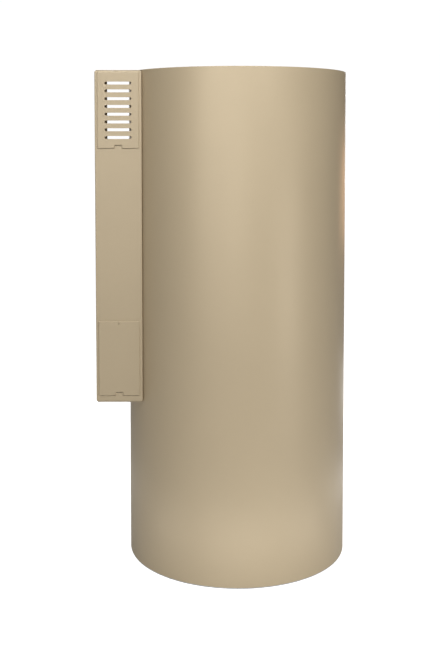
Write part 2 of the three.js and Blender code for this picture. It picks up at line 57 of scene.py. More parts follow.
COVER_LEFT, COVER_RIGHT, COVER_FRONT, COVER_BACK = -352, -237, -157, 75
COVER_BOTTOM, COVER_TOP = 420.5, 1236.7
COVER_BEND = 3  # the fold along the cover's top and bottom
COVER_MID = (COVER_LEFT + COVER_RIGHT) / 2
FLANGE_END = -149.9
HEM = 7  # the hem behind the cover's left side
HEM_X = COVER_LEFT + 4
STRAP_Z = (892.5, 446)
STRAP_ANGLE = 162.5
HATCH_W, HATCH_H, HATCH_FLANGE = 101.6, 185.6, 9
VENT_TOP, SERVICE_TOP = 1233.2, 621.4
PANEL_T = 2.2  # a hatch over its hemmed edge
PANEL_ROUND = 1.6
LAP = 6.3  # how far a hatch reaches over the cover's sheet
NOTCH_W, NOTCH_H = 17.5, 8.3
TONGUE_W = 19  # the cover's tongue behind the notch
SEAM = 1.1  # the cover's sheet stops short of a hatch's lower edge
VENT_SLIT, SERVICE_SLIT = 2.0, 1.4  # and its tongue stops short of the hatch's notch
SCREW_Z = -4.6  # the hatch screw, below the hatch's top edge
SLOTS, SLOT_W, SLOT_H, SLOT_PITCH, SLOT_FIRST = 8, 65.4, 7, 18.9, 26.6

# Angle about the axis, height, and the hole through the jacket.
PORTS = {
    "hot_outlet": (170, 985, 20),
    "relief_valve": (125, 1020, 20),
    "cold_inlet": (145, 175, 20),
    "drain": (100, 175, 20),
    "element": (180, 520, 39),
    "pocket": (180, 650, 14),
    "upper_screw": (STRAP_ANGLE, STRAP_Z[0], 2.2),
    "lower_screw": (STRAP_ANGLE, STRAP_Z[1], 2.2),
}
DIAL = (-306, 582)  # x and z
RESET = (-306, 550)
TRAY_FRONT = -120
GLAND = (-310, 72.45, 472)


# ---------- Mesh helpers: every mesh is built in millimetres and scaled to metres at the end ----------
def rounded(points, radius=0.0, steps=4, closed=True):
    """A 2-D outline with its corners turned into arcs. A point may carry its own radius as a third number."""
    out = []
    for i, point in enumerate(points):
        r = point[2] if len(point) > 2 else radius
        here = Vector(point[:2])
        if r <= 0 or (not closed and i in (0, len(points) - 1)):
            out.append(here)
            continue
        a = (Vector(points[i - 1][:2]) - here).normalized()
        b = (Vector(points[(i + 1) % len(points)][:2]) - here).normalized()
        half = a.angle(b) / 2
        centre = here + (a + b).normalized() * (r / math.sin(half))
        start, end = (here + d * (r / math.tan(half)) - centre for d in (a, b))
        first = math.atan2(start.y, start.x)
        sweep = (math.atan2(end.y, end.x) - first + math.pi) % (2 * math.pi) - math.pi
        for k in range(steps + 1):
            turn = first + sweep * k / steps
            out.append(centre + Vector((math.cos(turn), math.sin(turn))) * r)
    return out


def lathe(profile, segments=64, at=None):
    """A solid turned about Z. Its (radius, height) profile closes on itself or ends on the axis."""
    bm = bmesh.new()
    rings = []
    for r, z in (tuple(p)[:2] for p in profile):
        count = segments if r > 1e-6 else 1
        ring = []
        for i in range(count):
            turn = 2 * math.pi * i / segments
            ring.append(bm.verts.new((r * math.cos(turn), r * math.sin(turn), z)))
        rings.append(ring)
    if len(rings[0]) > 1:
        rings.append(rings[0])
    for low, high in zip(rings, rings[1:]):
        for i in range(segments):
            j = (i + 1) % segments
            corners = [low[i % len(low)], low[j % len(low)], high[j % len(high)], high[i % len(high)]]
            face = list(dict.fromkeys(corners))
            if len(face) > 2:
                bm.faces.new(face)
    return placed(bm, at)


def prism(outline, z0, z1, at=None):
    bm = bmesh.new()
    rings = [[bm.verts.new((p[0], p[1], z)) for p in outline] for z in (z0, z1)]
    bm.faces.new(rings[0][::-1])
    bm.faces.new(rings[1])
    for i in range(len(outline)):
        j = (i + 1) % len(outline)
        bm.faces.new([rings[0][i], rings[0][j], rings[1][j], rings[1][i]])
    return placed(bm, at)


def block(x0, x1, y0, y1, z0, z1, at=None):
    return prism([(x0, y0), (x1, y0), (x1, y1), (x0, y1)], z0, z1, at)


def rod(radius, z0, z1, segments=32, at=None):
    return lathe([(0, z0), (radius, z0), (radius, z1), (0, z1)], segments, at)


def placed(bm, at=None):
    if at is not None:
        bm.transform(at)
    bmesh.ops.recalc_face_normals(bm, faces=bm.faces)
    return bm


def together(*parts):
    """Several separate solids in one mesh."""
    whole = bmesh.new()
    for part in parts:
        mesh = bpy.data.meshes.new("part")
        part.to_mesh(mesh)
        part.free()
        whole.from_mesh(mesh)
        bpy.data.meshes.remove(mesh)
    return whole


def shaped(base, *steps):
    """base, then each (operation, solid) applied to it in turn."""
    objects = []
    for bm in [base, *(solid for _, solid in steps)]:
        mesh = bpy.data.meshes.new("shaping")
        bm.to_mesh(mesh)
        bm.free()
        objects.append(bpy.data.objects.new("shaping", mesh))
        scene.collection.objects.link(objects[-1])
    for (operation, _), tool in zip(steps, objects[1:]):
        modifier = objects[0].modifiers.new(operation, "BOOLEAN")
        modifier.operation = operation
        modifier.solver = "MANIFOLD"
        modifier.object = tool
    result = bmesh.new()
    result.from_object(objects[0], bpy.context.evaluated_depsgraph_get())
    for o in objects:
        mesh = o.data
        bpy.data.objects.remove(o)
        bpy.data.meshes.remove(mesh)
    bmesh.ops.dissolve_limit(result, angle_limit=radians(0.2), verts=result.verts, edges=result.edges)
    return result


def cut(base, *tools):
    return shaped(base, *(("DIFFERENCE", tool) for tool in tools))


def join(base, *others):
    return shaped(base, *(("UNION", other) for other in others))


def hexagon(across, z0, z1, chamfer=0.8, at=None):
    """A hexagonal bar with turned chamfers."""
    corner = across / math.sqrt(3)
    outline = [(corner * math.cos(radians(60 * i)), corner * math.sin(radians(60 * i))) for i in range(6)]
    across_flats = across / 2
    turned = [(0, z0), (across_flats, z0), (corner, z0 + chamfer),
              (corner, z1 - chamfer), (across_flats, z1), (0, z1)]
    return placed(shaped(prism(outline, z0, z1), ("INTERSECT", lathe(turned, 96))), at)


def tube(points, radius):
    """A round bar along a smooth curve through the points."""
    sides = 16
    path = smooth_path([Vector(p) for p in points])
    bm = bmesh.new()
    rings = []
    side = (path[1] - path[0]).orthogonal().normalized()
    for i, point in enumerate(path):
        along = (path[min(i + 1, len(path) - 1)] - path[max(i - 1, 0)]).normalized()
        side = (side - along * side.dot(along)).normalized()
        other = along.cross(side)
        ring = []
        for k in range(sides):
            turn = 2 * math.pi * k / sides
            ring.append(bm.verts.new(point + (side * math.cos(turn) + other * math.sin(turn)) * radius))
        rings.append(ring)
    for low, high in zip(rings, rings[1:]):
        for k in range(sides):
            bm.faces.new([low[k], low[(k + 1) % sides], high[(k + 1) % sides], high[k]])
    bm.faces.new(rings[0])
    bm.faces.new(rings[-1])
    return placed(bm)


def smooth_path(points):
    """A Catmull-Rom curve through the points, in short straight steps."""
    per_span = 8
    path = []
    for i in range(len(points) - 1):
        a, b = points[i], points[i + 1]
        before = points[i - 1] if i else a * 2 - b
        after = points[i + 2] if i + 2 < len(points) else b * 2 - a
        for k in range(per_span):
            t = k / per_span
            path.append(
                a + (b - before) * (t / 2) + (before * 2 - a * 5 + b * 4 - after) * (t * t / 2)
                + (a * 3 - before - b * 3 + after) * (t * t * t / 2)
            )
    return [*path, points[-1]]


def piece(name, bm, material, replaces=(), body="heater",
          bevel=0.0, segments=2):
    """Turns a mesh in millimetres into a finished piece that rides on a body."""
    mesh = bpy.data.meshes.new(name)
    bmesh.ops.remove_doubles(bm, verts=bm.verts, dist=1e-4)
    bmesh.ops.recalc_face_normals(bm, faces=bm.faces)
    bm.to_mesh(mesh)
    bm.free()
    mesh.transform(Matrix.Scale(0.001, 4))
    mesh.shade_smooth()
    mesh.set_sharp_from_angle(angle=radians(35))
    mesh.materials.append(material)
    obj = bpy.data.objects.new(name, mesh)
    scene.collection.objects.link(obj)
    if bevel:
        edge = obj.modifiers.new("edges", "BEVEL")
        edge.width = bevel * 0.001
        edge.segments = segments
        edge.limit_method = "ANGLE"
        edge.angle_limit = radians(40)
        edge.miter_outer = "MITER_ARC"
    weighted = obj.modifiers.new("normals", "WEIGHTED_NORMAL")
    weighted.keep_sharp = True
    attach(obj, body)
    if replaces:
        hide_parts(*([replaces] if isinstance(replaces, str) else replaces))
    return obj


def outward(angle, height):
    """Local +X points straight out of the tank, as in the CAD source's port groups."""
    return moved(0, 0, height) @ Matrix.Rotation(radians(angle), 4, "Z")


def moved(x, y=0, z=0):
    return Matrix.Translation((x, y, z))


ALONG_X = Matrix.Rotation(radians(90), 4, "Y")  # a lathe's axis laid along +X
ALONG_Y = Matrix.Rotation(radians(-90), 4, "X")  # a lathe's axis laid along +Y
FORWARD = Matrix.Rotation(radians(90), 4, "X")  # a lathe's axis laid along -Y


# ---------- Materials ----------
def nodes_of(name):
    material = bpy.data.materials.new(name)
    material.use_nodes = True
    tree = material.node_tree
    return material, tree, tree.nodes["Principled BSDF"]


def add_node(tree, kind, **settings):
    node = tree.nodes.new(kind)
    for key, value in settings.items():
        setattr(node, key, value)
    return node


def stretched(tree, scale):
    """Object coordinates, stretched by scale."""
    place = add_node(tree, "ShaderNodeTexCoord")
    mapping = add_node(tree, "ShaderNodeMapping")
    mapping.inputs["Scale"].default_value = scale
    tree.links.new(place.outputs["Object"], mapping.inputs["Vector"])
    return mapping.outputs["Vector"]


def noise(tree, vector, scale, detail=3.0, rough=0.5):
    node = add_node(tree, "ShaderNodeTexNoise")
    node.inputs["Scale"].default_value = scale
    node.inputs["Detail"].default_value = detail
    node.inputs["Roughness"].default_value = rough
    tree.links.new(vector, node.inputs["Vector"])
    return node.outputs["Fac"]


def spread(tree, value, low, high, start=0.3, end=0.7):
    """value, mapped from start..end to low..high."""
    node = add_node(tree, "ShaderNodeMapRange")
    for key, number in (("From Min", start), ("From Max", end), ("To Min", low), ("To Max", high)):
        node.inputs[key].default_value = number
    tree.links.new(value, node.inputs["Value"])
    return node.outputs["Result"]


def tinted(tree, value, dark, light, start=0.3, end=0.7):
    ramp = add_node(tree, "ShaderNodeValToRGB")
    ramp.color_ramp.elements[0].position = start
    ramp.color_ramp.elements[0].color = (*dark, 1)
    ramp.color_ramp.elements[1].position = end
    ramp.color_ramp.elements[1].color = (*light, 1)
    tree.links.new(value, ramp.inputs["Fac"])
    return ramp.outputs["Color"]


def bumped(tree, shader, height, distance, under=None):
    node = add_node(tree, "ShaderNodeBump")
    node.inputs["Strength"].default_value = 1.0
    node.inputs["Distance"].default_value = distance
    tree.links.new(height, node.inputs["Height"])
    if under:
        tree.links.new(under, node.inputs["Normal"])
    tree.links.new(node.outputs["Normal"], shader.inputs["Normal"])
    return node.outputs["Normal"]


def shade(color, by):
    return tuple(min(1.0, c * by) for c in color)


def surface(name, color, roughness, metallic=0.0, vary=0.08, cloud=9.0, grain=700.0, depth=2e-5,
            stretch=(1, 1, 1), rough_spread=0.12):
    """A general procedural finish: cloudy colour, uneven roughness and a fine grain in relief."""
    material, tree, shader = nodes_of(name)
    vector = stretched(tree, stretch)
    clouds = noise(tree, vector, cloud, 5.0, 0.6)
    fine = noise(tree, vector, grain, 3.0, 0.55)
    color_out = tinted(tree, clouds, shade(color, 1 - vary), shade(color, 1 + vary))
    tree.links.new(color_out, shader.inputs["Base Color"])
    rough_out = spread(tree, fine, roughness - rough_spread / 2, roughness + rough_spread / 2)
    tree.links.new(rough_out, shader.inputs["Roughness"])
    shader.inputs["Metallic"].default_value = metallic
    bumped(tree, shader, fine, depth)
    return material


def paint(name, color):
    """Satin powder coat: a champagne base with a faint pearl, a slight orange peel and very soft clouding."""
    material, tree, shader = nodes_of(name)
    vector = stretched(tree, (1, 1, 1))
    clouds = noise(tree, vector, 5.0, 4.0, 0.55)
    speck = noise(tree, vector, 2600.0, 2.0, 0.5)
    base = tinted(tree, clouds, shade(color, 0.985), shade(color, 1.015))
    light = tinted(tree, speck, (0.93, 0.93, 0.93), (1.06, 1.06, 1.06))
    mix = add_node(tree, "ShaderNodeMix", data_type="RGBA", blend_type="MULTIPLY")
    mix.inputs["Factor"].default_value = 1.0
    tree.links.new(base, mix.inputs[6])
    tree.links.new(light, mix.inputs[7])
    tree.links.new(mix.outputs[2], shader.inputs["Base Color"])
    peel = noise(tree, vector, 420.0, 2.0, 0.45)
    tree.links.new(spread(tree, peel, 0.41, 0.47), shader.inputs["Roughness"])
    shader.inputs["Metallic"].default_value = 0.15
    fine = bumped(tree, shader, speck, 4e-6)
    bumped(tree, shader, peel, 1.2e-5, under=fine)
    return material


def galvanised():
    """Zinc-dipped sheet with its crystal spangle."""
    material, tree, shader = nodes_of("galvanised_sheet")
    vector = stretched(tree, (1, 1, 1))
    cells = add_node(tree, "ShaderNodeTexVoronoi", feature="F1")
    cells.inputs["Scale"].default_value = 160.0
    tree.links.new(vector, cells.inputs["Vector"])
    grey = add_node(tree, "ShaderNodeSeparateColor")
    tree.links.new(cells.outputs["Color"], grey.inputs["Color"])
    spangle = tinted(tree, grey.outputs["Red"], (0.5, 0.515, 0.53), (0.68, 0.69, 0.7), 0, 1)
    tree.links.new(spangle, shader.inputs["Base Color"])
    tree.links.new(spread(tree, grey.outputs["Green"], 0.3, 0.5, 0, 1), shader.inputs["Roughness"])
    shader.inputs["Metallic"].default_value = 0.9
    bumped(tree, shader, noise(tree, vector, 900.0), 1e-5)
    return material


PAINT = (0.484, 0.391, 0.2575)
CHAMPAGNE = paint("champagne_paint", PAINT)
# Painted shade: the cover gets the jacket's champagne made a tenth darker, so its flat face looks less lit
# than the jacket's round front
SHADED_COVER_PAINT = paint("champagne_cover_paint_painted_shade", shade(PAINT, 0.9))
GALVANISED = galvanised()
# Name, colour, roughness, metallic, variation in colour, scale of clouds and of grain, relief in metres.
BRASS = surface("brass", (0.66, 0.46, 0.19), 0.3, 0.95, 0.1, 40, 1200, 1e-5)
ZINC = surface("zinc_plate", (0.62, 0.61, 0.58), 0.33, 0.95, 0.07, 60, 1500, 8e-6)
STAINLESS = surface("stainless", (0.6, 0.6, 0.61), 0.28, 1.0, 0.05, 50, 900, 6e-6, (1, 1, 12))
COPPER = surface("copper", (0.72, 0.36, 0.2), 0.33, 0.95, 0.12, 40, 1200, 8e-6)
MAGNESIUM = surface("magnesium", (0.42, 0.42, 0.41), 0.6, 0.7, 0.12, 50, 500, 4e-5)
BLACK = surface("black_plastic", (0.028, 0.028, 0.03), 0.48, 0, 0.15, 30, 1600, 2e-5)
IVORY = surface("ivory_plastic", (0.74, 0.69, 0.57), 0.45, 0, 0.03, 25, 1600, 1e-5)
RED = surface("red_plastic", (0.55, 0.028, 0.022), 0.32, 0, 0.08, 30, 1200, 8e-6)
RUBBER = surface("grey_rubber", (0.07, 0.07, 0.073), 0.72, 0, 0.15, 40, 1100, 4e-5)
ENAMEL = surface("primed_steel", (0.06, 0.085, 0.13), 0.4, 0.2, 0.15, 14, 500, 3e-5)
FOAM = surface("polyurethane_foam", (0.79, 0.62, 0.3), 0.95, 0, 0.12, 18, 330, 4e-4, rough_spread=0.06)
BROWN_WIRE = surface("brown_pvc", (0.16, 0.06, 0.03), 0.38, 0, 0.06, 30, 1500, 6e-6)
BLUE_WIRE = surface("blue_pvc", (0.03, 0.11, 0.42), 0.38, 0, 0.06, 30, 1500, 6e-6)
GREEN_WIRE = surface("green_pvc", (0.1, 0.3, 0.05), 0.38, 0, 0.06, 30, 1500, 6e-6)


# ---------- Jacket, lid and base ----------
def jacket():
    wall = lathe(
        rounded([(JACKET_R, PAN_Z + GAP), (JACKET_R, HEIGHT, 0.7), (JACKET_R - SHEET, HEIGHT, 0.7),
                 (JACKET_R - SHEET, PAN_Z + GAP)], steps=3),
        256,
    )
    seam = prism(rounded([(6, 279), (6, 281.2, 1), (-6, 281.2, 1), (-6, 279)]), PAN_Z + GAP, HEIGHT)
    holes = [rod(r, 200, 320, 48, outward(angle, z) @ ALONG_X) for angle, z, r in PORTS.values()]
    piece("jacket_skin", cut(join(wall, seam), together(*holes)), CHAMPAGNE, "jacket")


def lid():
    z = LID_Z
    top = z + SHEET
    profile = rounded(
        [(22, z), (70, z, 3), (76, z + 1.4, 3), (222, z + 1.4, 3), (228, z, 3), (LID_R, z, 2.2),
         (LID_R, HEIGHT - 1, 0.6), (LID_R - SHEET, HEIGHT - 1, 0.6), (LID_R - SHEET, top, 1),
         (228.8, top, 3), (222.8, top + 1.4, 3), (75.2, top + 1.4, 3), (69.2, top, 3), (22, top)],
        steps=4,
    )
    piece("top_lid", lathe(profile, 256), CHAMPAGNE, "top_cover")
    seat = top + GAP
    cap = rounded([(0, z + GAP), (21.7, z + GAP, 0.5), (21.7, seat),
                   (31, seat, 0.6), (30, seat + 3, 1.6), (0, seat + 3)])
    ribs = [block(-14, 14, y - 0.9, y + 0.9, seat + 2.2, seat + 6) for y in (-9, -3, 3, 9)]
    cap = cut(lathe(cap, 96), together(*ribs))
    piece("anode_cap", cap, BLACK, "anode_access_cap", bevel=0.25)


def base_pan():
    rim = LID_R
    profile = [(0, 0), (JACKET_R - 0.6, 0, 1), (JACKET_R - 0.6, PAN_Z, 0.8), (rim, PAN_Z), (rim, 22, 0.6),
               (rim - SHEET, 22, 0.6), (rim - SHEET, PAN_Z), (0, PAN_Z)]
    piece("base_tray", lathe(rounded(profile), 256), GALVANISED, "base_pan")


# ---------- Service cover ----------
def cover_line(inset):
    """The folded sheet in plan, and where the sides of the openings and tongues fall along it."""
    half = HATCH_W / 2 - LAP
    front = COVER_FRONT + inset
    sides = [COVER_MID + x for x in (half, TONGUE_W / 2, -TONGUE_W / 2, -half)]
    right, left, back = COVER_RIGHT - inset, COVER_LEFT + inset, COVER_BACK - inset
    corners = [(right, FLANGE_END), (right, front, 2), *((x, front) for x in sides),
               (left, front, 2.4), (left, back, 2), (COVER_LEFT + HEM, back)]
    line = rounded(corners, steps=6, closed=False)
    return line, [min(range(len(line)), key=lambda i: (line[i] - Vector((x, front))).length) for x in sides]


def folded_cover():
    """The cover's sheet: a grid along its folds and up its height, left open behind the two hatches."""
    quarter = [math.pi / 2 * k / 5 for k in range(6)]
    bend = [(COVER_BEND * (1 - math.cos(t)), COVER_BEND * math.sin(t)) for t in quarter]
    low, high = COVER_BOTTOM + COVER_BEND, COVER_TOP - COVER_BEND
    levels = [(low - rise, inset) for inset, rise in reversed(bend)]
    for top, slit in ((SERVICE_TOP, SERVICE_SLIT), (VENT_TOP, VENT_SLIT)):
        sill = top - HATCH_H - SEAM
        levels += [(sill, 0), (sill + SEAM + NOTCH_H - slit, 0), (top - LAP, 0)]
    levels += [(high + rise, inset) for inset, rise in bend]
    bm = bmesh.new()
    grid = []
    for z, inset in levels:
        line, sides = cover_line(inset)
        grid.append([bm.verts.new((p.x, p.y, z)) for p in line])
    first = len(bend)
    for k in range(len(levels) - 1):
        for i in range(len(grid[0]) - 1):
            beside = sides[0] <= i < sides[1] or sides[2] <= i < sides[3]
            if k in (first + 1, first + 4) and sides[0] <= i < sides[3]:
                continue
            if k in (first, first + 3) and beside:
                continue
            bm.faces.new([grid[k][i], grid[k][i + 1], grid[k + 1][i + 1], grid[k + 1][i]])
    bmesh.ops.recalc_face_normals(bm, faces=bm.faces)
    face = max(bm.faces, key=lambda f: f.calc_area())
    if face.normal.dot(face.calc_center_median() - Vector((COVER_MID, 0, 800))) < 0:
        bmesh.ops.reverse_faces(bm, faces=bm.faces)
    return bm


def thickened(bm, thickness):
    """A sheet given its thickness, inwards."""
    mesh = bpy.data.meshes.new("sheet")
    bm.to_mesh(mesh)
    bm.free()
    raw = bpy.data.objects.new("sheet", mesh)
    scene.collection.objects.link(raw)
    solid = raw.modifiers.new("sheet", "SOLIDIFY")
    solid.thickness = thickness
    solid.offset = -1
    solid.use_even_offset = True
    out = bmesh.new()
    out.from_object(raw, bpy.context.evaluated_depsgraph_get())
    bpy.data.objects.remove(raw)
    bpy.data.meshes.remove(mesh)
    return out


def service_cover():
    holes = [rod(1.7, 70, 80, 24, moved(HEM_X, 0, z) @ ALONG_Y) for z in STRAP_Z]
    holes.append(rod(2.4, -160, -150, 24, moved(COVER_MID, 0, SERVICE_TOP + SCREW_Z) @ ALONG_Y))
    sill = VENT_TOP - HATCH_H - SEAM
    back = COVER_FRONT + SHEET
    left, right, foot = COVER_MID - 48, COVER_MID + 48, sill - 8
    ledge = join(block(left, right, back - 0.2, back + 3.5, foot, foot + SHEET),
                 block(left, right, back + 2, back + 3.5, foot, sill + SEAM + NOTCH_H + 1.4))
    sheet = cut(join(thickened(folded_cover(), SHEET), ledge), together(*holes))
    piece("service_cover_sheet", sheet, SHADED_COVER_PAINT, "service_cover", bevel=0.35)


def cover_caps():
    clear = JACKET_R + 0.7
    inset = COVER_BEND - 0.4
    front, left, back = COVER_FRONT + inset, COVER_LEFT + inset, COVER_BACK - inset
    first = math.pi - math.asin(back / clear)
    last = math.pi - math.asin((FLANGE_END + inset) / clear)
    turns = [first + (last - first) * k / 48 for k in range(49)]
    arc = [(clear * math.cos(t), clear * math.sin(t)) for t in turns]
    outline = rounded([(COVER_RIGHT - inset, front, 2), (left, front, 2.4), (left, back, 1), *arc])
    for name, z0 in (("cover_top_cap", COVER_TOP + GAP), ("cover_bottom_cap", COVER_BOTTOM - GAP - SHEET)):
        piece(name + "_plate", prism(outline[::-1], z0, z0 + SHEET), SHADED_COVER_PAINT, name, bevel=0.7, segments=3)


def hatch_outline(inset):
    """A hatch's face with its finger notch, drawn in by inset."""
    half, top, bottom = HATCH_W / 2 - inset, -inset, -HATCH_H + inset
    notch, rise = NOTCH_W / 2 + inset, -HATCH_H + NOTCH_H + inset
    corners = [(-half, top, 1.8), (half, top, 1.8), (half, bottom, 1.8), (notch, bottom, 0.8),
               (notch, rise, 2.2), (-notch, rise, 2.2), (-notch, bottom, 0.8), (-half, bottom, 1.8)]
    return rounded(corners, steps=5)


def loft(sections, at=None):
    """A solid through outlines with the same number of points, each given with its height."""
    bm = bmesh.new()
    rings = [[bm.verts.new((p[0], p[1], z)) for p in outline] for outline, z in sections]
    bm.faces.new(rings[0][::-1])
    bm.faces.new(rings[-1])
    for low, high in zip(rings, rings[1:]):
        for i in range(len(low)):
            j = (i + 1) % len(low)
            bm.faces.new([low[i], low[j], high[j], high[i]])
    return placed(bm, at)


def hatch_solid(slots, hooks):
    """A hatch with its top edge's middle at the origin. hooks is 1 for hooks at the top, -1 at the bottom."""
    sections = [(hatch_outline(0), GAP)]
    for k in range(6):
        t = math.pi / 2 * k / 5
        rise = GAP + PANEL_T - PANEL_ROUND * (1 - math.sin(t))
        sections.append((hatch_outline(PANEL_ROUND * (1 - math.cos(t))), rise))
    parts = [loft(sections, FORWARD)]
    reach = HATCH_W / 2 - LAP - 0.6
    for side in (-1, 1):
        x0, x1 = sorted((side * reach, side * (reach - SHEET)))
        parts.append(block(x0, x1, -1, HATCH_FLANGE, -HATCH_H + 12, -LAP - 4))
    edge, way = (-LAP, 1) if hooks > 0 else (-HATCH_H - SEAM, -1)  # the sheet's edge that the hooks hold
    for x in (-30, 30):
        for y0, reach_in, reach_out in ((-1, 2.1, -0.6), (2.1, 2.1, 4.3)):
            z0, z1 = sorted((edge - way * reach_in, edge + way * reach_out))
            parts.append(block(x - 6, x + 6, y0, 3.6, z0, z1))
    cutters = []
    for k in range(slots):
        z = -SLOT_FIRST - SLOT_PITCH * k
        half, r = SLOT_W / 2, SLOT_H / 2
        box = rounded([(-half, z - r), (half, z - r), (half, z + r), (-half, z + r)], r - 0.01, steps=8)
        cutters.append(prism(box, -4, 5, FORWARD))
    solid = join(*parts)
    return cut(solid, together(*cutters)) if cutters else solid


def hatches():
    vent = hatch_solid(SLOTS, 1)
    vent.transform(moved(COVER_MID, COVER_FRONT, VENT_TOP))
    piece("vent_hatch_panel", vent, SHADED_COVER_PAINT, "vent_hatch", body="vent_hatch", bevel=0.3)

    hole = rod(1.7, -5, 8, 24, moved(0, 0, SCREW_Z) @ ALONG_Y)
    service = cut(hatch_solid(0, -1), hole)
    service.transform(moved(COVER_MID, COVER_FRONT, SERVICE_TOP))
    piece("service_hatch_panel", service, SHADED_COVER_PAINT, "service_hatch", body="service_hatch", bevel=0.3)
    at = moved(COVER_MID, COVER_FRONT - 2 * GAP - PANEL_T, SERVICE_TOP + SCREW_Z) @ FORWARD
    screw("hatch_screw", "service_hatch_screw", at, 2.6, 1.4, 9, SHADED_COVER_PAINT, "service_hatch")


# ---------- Screws, straps and the cable gland ----------
def screw(name, node, at, head, shank, length, material, body="heater"):
    """A pan head with a cross recess on a threaded shank. Its underside is at z = 0 and it points down -Z."""
    thread = []
    count = max(2, int((length - 1.2) / 0.9))
    for k in range(count):
        z = -length + 0.7 + k * 0.9
        thread += [(shank * 0.78, z), (shank, z + 0.45)]
    profile = [(0, -length), (shank * 0.5, -length + 0.4), *thread, (shank * 0.78, -0.4), (shank, 0),
               (head - 0.2, 0), (head, 0.25), (head, 0.8), (head * 0.86, 1.4), (head * 0.6, 1.85),
               (head * 0.3, 2), (0, 2)]
    arm, wide = head * 0.55, head * 0.11
    recess = join(block(-arm, arm, -wide, wide, 0.9, 3), block(-wide, wide, -arm, arm, 0.9, 3))
    piece(name, cut(lathe(profile, 40), recess), material, node, body)
    scene.objects[name].data.transform(Matrix.Scale(0.001, 4) @ at @ Matrix.Scale(1000, 4))


def straps():
    for node in ("cover_strap_upper", "gland_plate"):
        finish_cad(node, GALVANISED, 0.25)
    for place, z in zip(("upper", "lower"), STRAP_Z):
        at = moved(HEM_X, COVER_BACK + GAP, z) @ ALONG_Y
        screw(place + "_hem_screw_detail", place + "_hem_screw", at, 3, 1.4, 6, ZINC)
    for place, z in zip(("upper", "lower"), STRAP_Z):
        at = outward(STRAP_ANGLE, z) @ moved(282.3) @ ALONG_X
        screw(place + "_strap_screw_detail", place + "_strap_screw", at, 3.5, 1.5, 7, ZINC)

    at = moved(*GLAND) @ ALONG_Y
    body = lathe(rounded([(7, -14, 0.5), (12, -14, 0.8), (12, 1.05), (16, 1.05), (16, 2), (14.2, 2),
                          (14.2, 9), (13.2, 9), (13.2, 20, 2), (10, 26, 1.5), (7, 26, 1)]), 96)
    body = join(body, cut(hexagon(29.5, 1.05, 8), rod(12.5, 0, 9, 64)))
    ribs = []
    for k in range(18):
        ribs.append(block(12.6, 14.2, -0.7, 0.7, 9.5, 19, Matrix.Rotation(radians(20 * k), 4, "Z")))
    body = join(body, together(*ribs))
    body.transform(at)
    piece("cable_gland_body", body, BLACK, "cable_gland", bevel=0.25)
    nut = cut(hexagon(30, -7, -1.05), rod(12.3, -9, 1, 64))
    nut.transform(at)
    piece("cable_gland_locknut", nut, BLACK, "cable_gland_nut", bevel=0.25)


def finish_cad(node, material, bevel=0.0):
    """A CAD node that keeps its shape, with softened edges and a real finish."""
    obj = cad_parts[node]
    obj.data.materials.clear()
    obj.data.materials.append(material)
    if bevel:
        edge = obj.modifiers.new("edges", "BEVEL")
        edge.width = bevel * 0.001
        edge.segments = 2
        edge.limit_method = "ANGLE"
        edge.angle_limit = radians(40)


# ---------- Pipes and valves at the back ----------
def threads(radius, z0, z1, pitch=1.8, depth=0.9):
    """Thread ridges as profile points, from z0 to z1."""
    out = []
    count = int((z1 - z0) / pitch)
    for k in range(count):
        z = z0 + k * pitch
        out += [(radius - depth, z + pitch * 0.1), (radius, z + pitch * 0.45), (radius, z + pitch * 0.6)]
    return out


def collar(name, port, pipe_r):
    """A moulded rubber ring that hugs the round jacket."""
    angle, z, _ = PORTS[port]
    bore = pipe_r + GAP
    profile = [(bore, 270, 0.4), (19.5, 270, 0.4), (19.5, 280.6), (28, 280.6, 0.5), (26.8, 283.4, 1.6),
               (19.5, 283.6, 1), (17.5, 284.2, 0.8), (bore, 284.2, 0.6)]
    bm = lathe(rounded(profile), 96, ALONG_X)
    for v in bm.verts:
        v.co.x += math.sqrt(JACKET_R**2 - v.co.y**2) - JACKET_R
    bm.transform(outward(angle, z))
    piece(name + "_ring", bm, RUBBER, name)


def pipes():
    for port in ("hot_outlet", "cold_inlet"):
        angle, z, _ = PORTS[port]
        collar(port + "_collar", port, PIPE_R)
        inside = rounded([(10, 325, 0.6), (10, 236, 0.6), (PIPE_R, 236, 0.6)], closed=False)
        tip = [(PIPE_R, 303), *threads(PIPE_R, 303, 323), (PIPE_R - 1, 324.4), (PIPE_R - 1.4, 325)]
        bm = lathe(inside + tip, 96, outward(angle, z) @ ALONG_X)
        piece(port + "_pipe", bm, ZINC, port + "_nipple")


